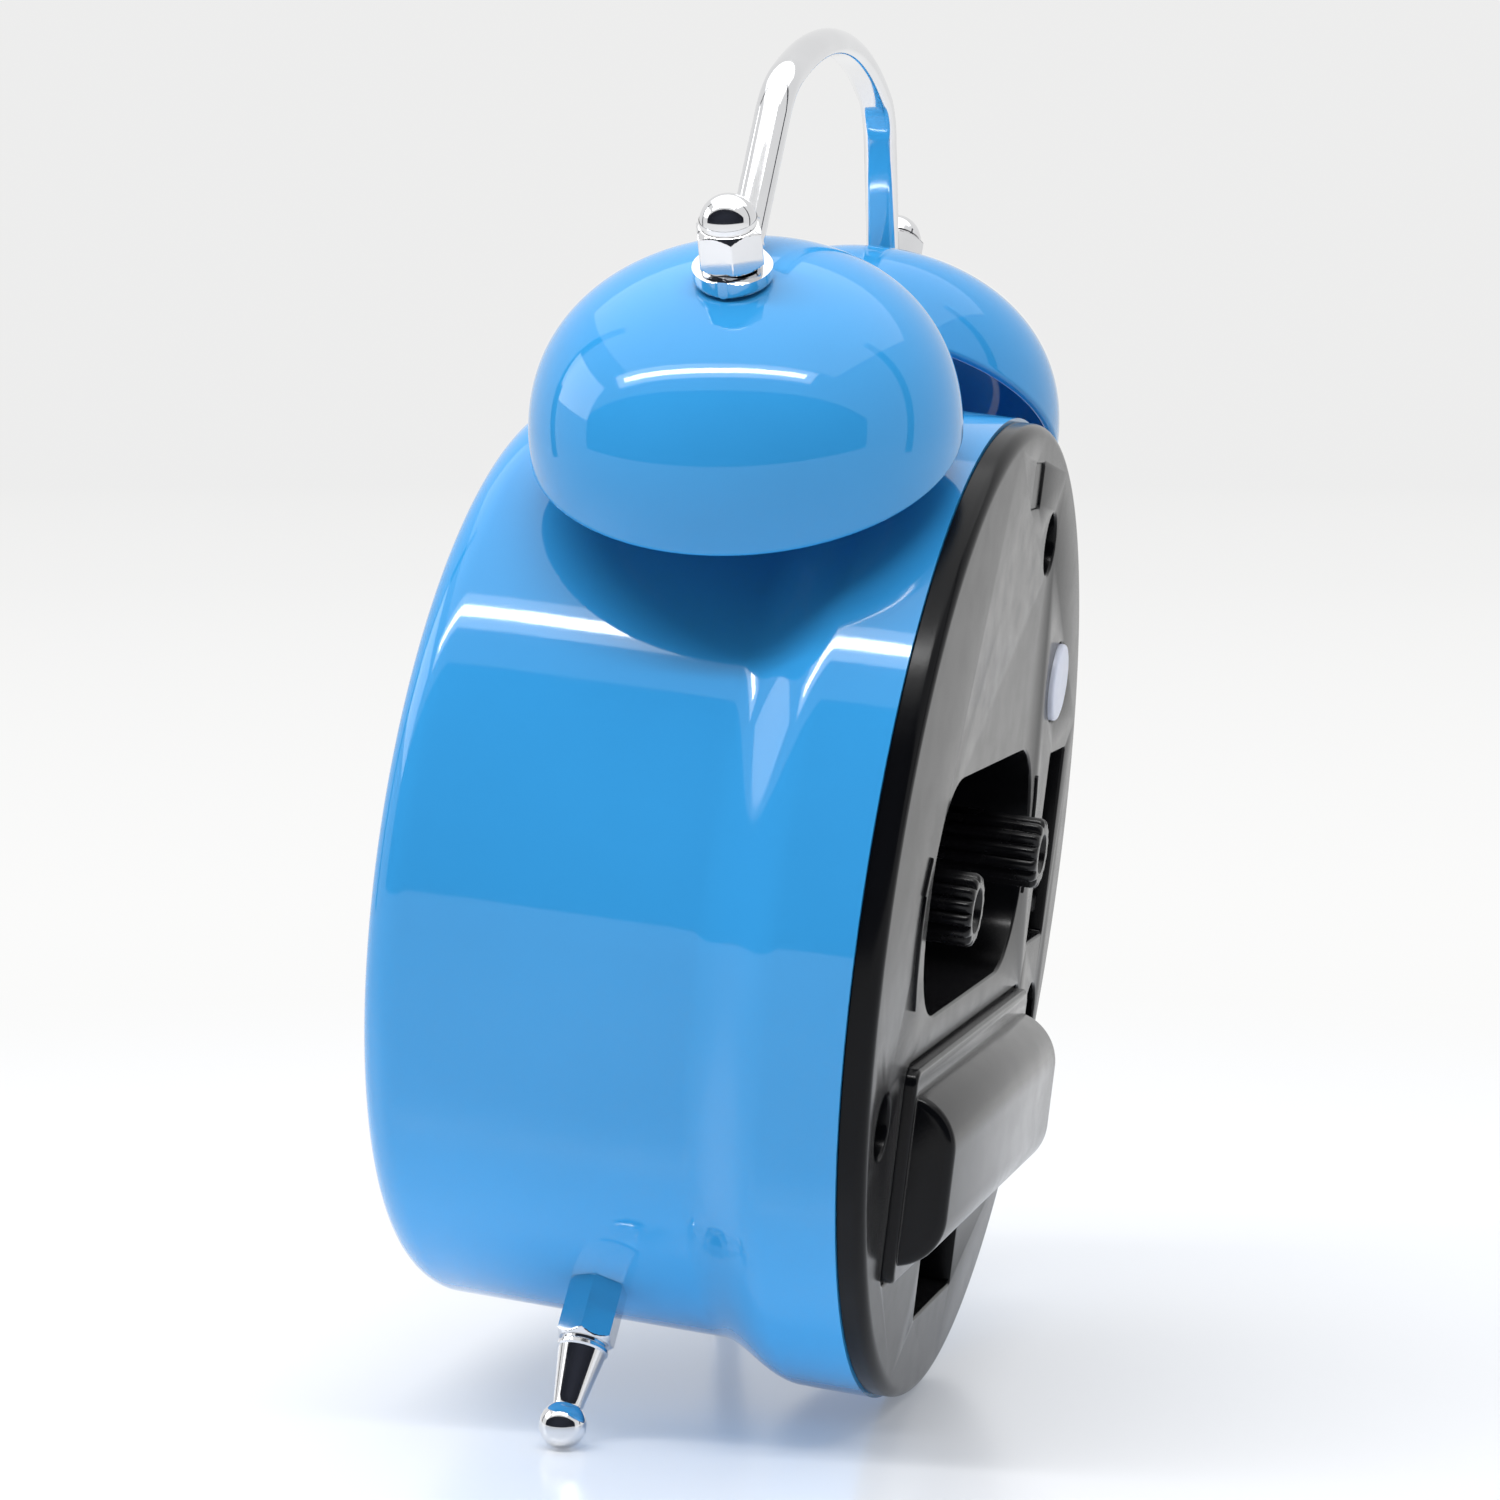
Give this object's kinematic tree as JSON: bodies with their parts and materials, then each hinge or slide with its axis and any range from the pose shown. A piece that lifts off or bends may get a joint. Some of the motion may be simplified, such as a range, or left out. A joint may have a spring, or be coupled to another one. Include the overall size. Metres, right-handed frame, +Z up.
{
  "type": "alarm clock",
  "caption": "Twin-bell alarm clock with a round steel drum, two tilted bells, a bow handle, ball feet, and a moulded rear cover with setting knobs and a battery door.",
  "frame": {"origin": "on the floor plane, below the centre of the bounding box; the clock stands on two ball feet and the rear rim", "axes": "+Z up; the dial faces -Y and leans back 7 degrees; the rear cover faces +Y; +X points to the right-hand bell as seen facing the dial"},
  "size_m": [0.0968, 0.0598, 0.1338],
  "materials": {
    "drum_paint": "gloss",
    "bell_paint": "gloss",
    "chrome": "polished",
    "steel": "satin",
    "black_plastic": "satin",
    "knob_plastic": "satin",
    "button_plastic": "satin",
    "lens": "clear",
    "dial_print": "matte",
    "white_plastic": "satin",
    "hand_black": "satin",
    "hand_red": "satin",
    "brass": "polished",
    "copper_wire": "varnished wire",
    "circuit": "satin",
    "magnet": "matte",
    "cell_wrap": "printed sleeve",
    "lead_red": "satin",
    "rubber": "matte",
    "nylon": "satin",
    "lamp": "clear resin"
  },
  "bodies": {
    "clock": {"case_shell": "drum_paint", "front_lens": "lens", "dial_ring": "white_plastic", "dial": "dial_print", "post_ring": "white_plastic", "rear_cover": "black_plastic", "cover_screws": "steel", "light_switch": "circuit", "movement_base": "white_plastic", "movement_cover": "white_plastic", "movement_screws": "steel", "wheel_pins": "steel", "stator": "magnet", "step_coil": "copper_wire", "circuit_board": "circuit", "striker_bracket": "steel", "striker_coil": "copper_wire", "striker_core": "magnet", "battery_cell": "cell_wrap", "contact_plate": "steel", "contact_spring": "steel", "power_leads": "lead_red", "dial_lamp": "lamp", "bell_stud_right": "chrome", "bell_stud_left": "chrome", "stud_nuts": "steel", "bell_bushes": "rubber", "bell_right": "bell_paint", "bell_left": "bell_paint", "handle": "chrome", "cap_nuts": "chrome", "foot_right": "chrome", "foot_left": "chrome", "foot_nuts": "steel"},
    "battery_door": {"battery_door": "black_plastic"},
    "alarm_switch": {"alarm_switch": "black_plastic"},
    "light_button": {"light_button": "button_plastic"},
    "time_setter": {"time_knob": "knob_plastic", "motion_wheel": "brass"},
    "minutes": {"cannon_pinion": "brass", "minute_hand": "hand_black"},
    "hours": {"hour_wheel": "brass", "hour_hand": "hand_black"},
    "alarm_setter": {"alarm_knob": "knob_plastic", "alarm_pinion": "brass"},
    "alarm": {"alarm_wheel": "brass", "alarm_hand": "hand_red"},
    "seconds": {"second_wheel": "brass", "second_hand": "hand_red"},
    "third_wheel": {"third_wheel": "brass"},
    "centre_wheel": {"centre_wheel": "brass"},
    "step_wheel": {"step_wheel": "nylon"},
    "rotor": {"rotor": "magnet"},
    "hammer": {"hammer_arm": "steel", "hammer_head": "chrome"}
  },
  "joints": [
    {"name": "battery_door_hinge", "type": "hinge", "parent": "clock", "child": "battery_door", "pos_m": [0, 0.02278, 0.03611], "axis": [1, 0, 0], "range_deg": [0, 60]},
    {"name": "alarm_switch_slide", "type": "slide", "parent": "clock", "child": "alarm_switch", "axis": [0, 0.1219, 0.9925], "range_m": [0, 0.0072]},
    {"name": "light_button_press", "type": "slide", "parent": "clock", "child": "light_button", "axis": [0, -0.9925, 0.1219], "range_m": [0, 0.0008], "stiffness_N_per_m": 300, "springref_m": -0.001},
    {"name": "time_knob_turn", "type": "hinge", "parent": "clock", "child": "time_setter", "pos_m": [-0.0096, 0.02227, 0.0533], "axis": [0, 0.9925, -0.1219], "continuous": true},
    {"name": "minute_hand_turn", "type": "hinge", "parent": "clock", "child": "minutes", "pos_m": [0, -0.0141, 0.05243], "axis": [0, 0.9925, -0.1219], "continuous": true},
    {"name": "hour_hand_turn", "type": "hinge", "parent": "clock", "child": "hours", "pos_m": [0, -0.0141, 0.05243], "axis": [0, 0.9925, -0.1219], "continuous": true},
    {"name": "alarm_knob_turn", "type": "hinge", "parent": "clock", "child": "alarm_setter", "pos_m": [0.0144, 0.02188, 0.05012], "axis": [0, 0.9925, -0.1219], "continuous": true},
    {"name": "alarm_hand_turn", "type": "hinge", "parent": "clock", "child": "alarm", "pos_m": [0, -0.0141, 0.05243], "axis": [0, 0.9925, -0.1219], "continuous": true},
    {"name": "second_hand_turn", "type": "hinge", "parent": "clock", "child": "seconds", "pos_m": [0, -0.0141, 0.05243], "axis": [0, 0.9925, -0.1219], "continuous": true},
    {"name": "third_wheel_turn", "type": "hinge", "parent": "clock", "child": "third_wheel", "pos_m": [0, -0.00939, 0.04157], "axis": [0, 0.9925, -0.1219], "continuous": true},
    {"name": "centre_wheel_turn", "type": "hinge", "parent": "clock", "child": "centre_wheel", "pos_m": [0, -0.00815, 0.05169], "axis": [0, 0.9925, -0.1219], "continuous": true},
    {"name": "step_wheel_turn", "type": "hinge", "parent": "clock", "child": "step_wheel", "pos_m": [0.0043, -0.00724, 0.05909], "axis": [0, 0.9925, -0.1219], "continuous": true},
    {"name": "rotor_turn", "type": "hinge", "parent": "clock", "child": "rotor", "pos_m": [0.0043, -0.00636, 0.06623], "axis": [0, 0.9925, -0.1219], "continuous": true},
    {"name": "hammer_swing", "type": "hinge", "parent": "clock", "child": "hammer", "pos_m": [0, 0.00357, 0.06839], "axis": [0, 0.9925, -0.1219], "range_deg": [-6.2, 6.2], "stiffness_Nm_per_rad": 0.03}
  ],
  "couplings": [
    {"joint": "minute_hand_turn", "follows": "time_knob_turn", "ratio": -3},
    {"joint": "hour_hand_turn", "follows": "time_knob_turn", "ratio": -0.25},
    {"joint": "alarm_hand_turn", "follows": "alarm_knob_turn", "ratio": -0.71429},
    {"joint": "third_wheel_turn", "follows": "second_hand_turn", "ratio": -0.125},
    {"joint": "centre_wheel_turn", "follows": "second_hand_turn", "ratio": 0.016667},
    {"joint": "step_wheel_turn", "follows": "second_hand_turn", "ratio": -5},
    {"joint": "rotor_turn", "follows": "second_hand_turn", "ratio": 30}
  ]
}
